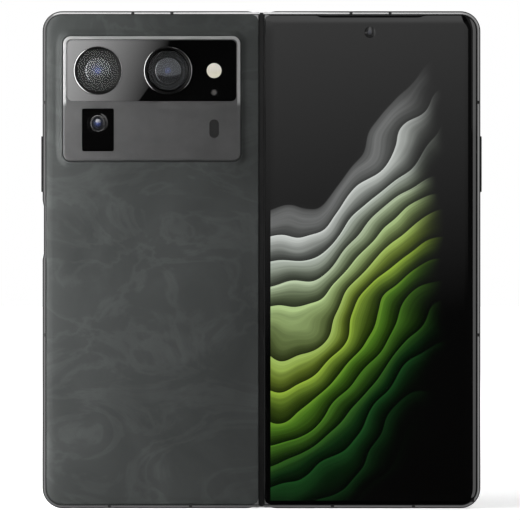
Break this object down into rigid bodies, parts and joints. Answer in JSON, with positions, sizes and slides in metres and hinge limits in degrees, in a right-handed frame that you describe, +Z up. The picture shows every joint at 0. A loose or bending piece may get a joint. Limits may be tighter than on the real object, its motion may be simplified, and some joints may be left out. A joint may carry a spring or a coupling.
{
  "type": "foldable smartphone",
  "caption": "Book-style folding phone with a geared two-axis hinge, folding inner display, cover display, rear camera island, keys, charging socket and card tray.",
  "frame": {"origin": "on the standing edge under the hinge, in the middle of the whole thickness", "axes": "+Z up the height of the opened phone, +X across both halves towards the cover display, +Y out of the folding display; the back cover and cover display face -Y"},
  "size_m": [0.1414, 0.009, 0.1594],
  "materials": {
    "frame_metal": "anodised dark grey, satin",
    "spine_metal": "anodised dark grey, satin",
    "antenna_plastic": "matte",
    "back_leather": "fine grain, dark grey-green with faint clouded veins",
    "plinth_metal": "satin, with a polished bevel",
    "lens_ring_metal": "polished",
    "camera_window": "gloss, dark tinted",
    "lens_glass": "coated",
    "camera_body": "matte",
    "flash_lens": "frosted",
    "sensor_window": "gloss",
    "circuit_board": "solder mask",
    "battery_foil": "foil",
    "pressed_steel": "plated",
    "speaker_plastic": "matte",
    "microphone_can": "plated",
    "flex": "polyimide",
    "power_key_glass": "satin, touch sensor",
    "folding_display": "gloss, unlit",
    "bezel_plastic": "soft matte",
    "hinge_steel": "machined",
    "plate_steel": "rolled",
    "pin_steel": "ground",
    "cover_glass": "gloss glass over the lit display",
    "cover_oled": "lit display layer"
  },
  "bodies": {
    "left_half": {"left_frame": "frame_metal", "left_antenna_breaks": "antenna_plastic", "back_cover": "back_leather", "camera_plinth": "plinth_metal", "camera_window_glass": "camera_window", "main_lens_ring": "lens_ring_metal", "wide_lens_ring": "lens_ring_metal", "main_lens_glass": "lens_glass", "wide_lens_glass": "lens_glass", "main_camera": "camera_body", "wide_camera": "camera_body", "portrait_camera": "camera_body", "portrait_window_glass": "camera_window", "flash_diffuser": "flash_lens", "light_sensor_window": "sensor_window", "rangefinder_window": "camera_window", "main_board": "circuit_board", "left_battery": "battery_foil", "charging_board": "circuit_board", "usb_c_port": "pressed_steel", "top_speaker": "speaker_plastic", "microphones": "microphone_can", "card_reader": "pressed_steel", "side_key_flex": "flex", "left_display_panel": "folding_display", "left_inner_bezel": "bezel_plastic", "left_upper_swing_arm": "hinge_steel", "left_lower_swing_arm": "hinge_steel", "left_hinge_screws": "pin_steel"},
    "volume_rocker": {"volume_rocker": "frame_metal"},
    "power_key": {"power_key": "power_key_glass"},
    "card_tray": {"card_tray": "frame_metal"},
    "left_wing_plate": {"left_wing_plate": "plate_steel"},
    "spine": {"spine_cover": "spine_metal", "spine_end_caps": "spine_metal", "upper_hinge_bracket": "hinge_steel", "lower_hinge_bracket": "hinge_steel", "hinge_pins": "pin_steel", "idler_pins": "pin_steel", "friction_washers": "microphone_can", "centre_plate": "plate_steel", "spine_screws": "pin_steel", "display_fold_zone": "folding_display"},
    "left_idler_gears": {"left_idler_gears": "hinge_steel"},
    "right_idler_gears": {"right_idler_gears": "hinge_steel"},
    "right_half": {"right_frame": "frame_metal", "right_antenna_breaks": "antenna_plastic", "cover_glass": "cover_glass", "cover_display_panel": "cover_oled", "cover_camera": "camera_body", "inner_camera": "camera_body", "earpiece": "speaker_plastic", "right_battery": "battery_foil", "bottom_speaker": "speaker_plastic", "right_display_panel": "folding_display", "right_inner_bezel": "bezel_plastic", "right_swing_arms": "hinge_steel", "right_hinge_screws": "pin_steel"},
    "right_wing_plate": {"right_wing_plate": "plate_steel"},
    "side_key": {"side_key": "frame_metal"}
  },
  "joints": [
    {"name": "fold_left", "type": "hinge", "parent": "left_half", "child": "spine", "pos_m": [-0.0024, 0.0024, 0.0797], "axis": [0, 0, 1], "range_deg": [0, 90], "deforming": ["display_fold_zone"]},
    {"name": "fold_right", "type": "hinge", "parent": "spine", "child": "right_half", "pos_m": [0.0024, 0.0024, 0.0797], "axis": [0, 0, 1], "range_deg": [0, 90]},
    {"name": "left_idler_turn", "type": "hinge", "parent": "spine", "child": "left_idler_gears", "pos_m": [-0.0008, 0.0024, 0.0797], "axis": [0, 0, 1], "range_deg": [0, 90]},
    {"name": "right_idler_turn", "type": "hinge", "parent": "spine", "child": "right_idler_gears", "pos_m": [0.0008, 0.0024, 0.0797], "axis": [0, 0, 1], "range_deg": [-90, 0]},
    {"name": "left_wing_tilt", "type": "hinge", "parent": "left_half", "child": "left_wing_plate", "pos_m": [-0.0086, 0.00345, 0.0797], "axis": [0, 0, 1], "range_deg": [-22.01, 0]},
    {"name": "right_wing_tilt", "type": "hinge", "parent": "right_half", "child": "right_wing_plate", "pos_m": [0.0086, 0.00345, 0.0797], "axis": [0, 0, 1], "range_deg": [0, 22.01]},
    {"name": "volume_rock", "type": "hinge", "parent": "left_half", "child": "volume_rocker", "pos_m": [-0.0677, 0.00105, 0.1104], "axis": [0, 1, 0], "range_deg": [-1.1, 1.1], "stiffness_Nm_per_rad": 0.5},
    {"name": "power_press", "type": "slide", "parent": "left_half", "child": "power_key", "axis": [1, 0, 0], "range_m": [0, 0.0002], "stiffness_N_per_m": 2000},
    {"name": "side_key_press", "type": "slide", "parent": "right_half", "child": "side_key", "axis": [-1, 0, 0], "range_m": [0, 0.0002], "stiffness_N_per_m": 2000},
    {"name": "card_tray_slide", "type": "slide", "parent": "left_half", "child": "card_tray", "axis": [0, 0, -1], "range_m": [0, 0.018]}
  ],
  "couplings": [
    {"joint": "fold_right", "follows": "fold_left", "ratio": 1},
    {"joint": "left_idler_turn", "follows": "fold_left", "ratio": 1},
    {"joint": "right_idler_turn", "follows": "fold_left", "ratio": -1},
    {"joint": "left_wing_tilt", "follows": "fold_left", "ratio": -0.24444},
    {"joint": "right_wing_tilt", "follows": "fold_left", "ratio": 0.24444}
  ]
}
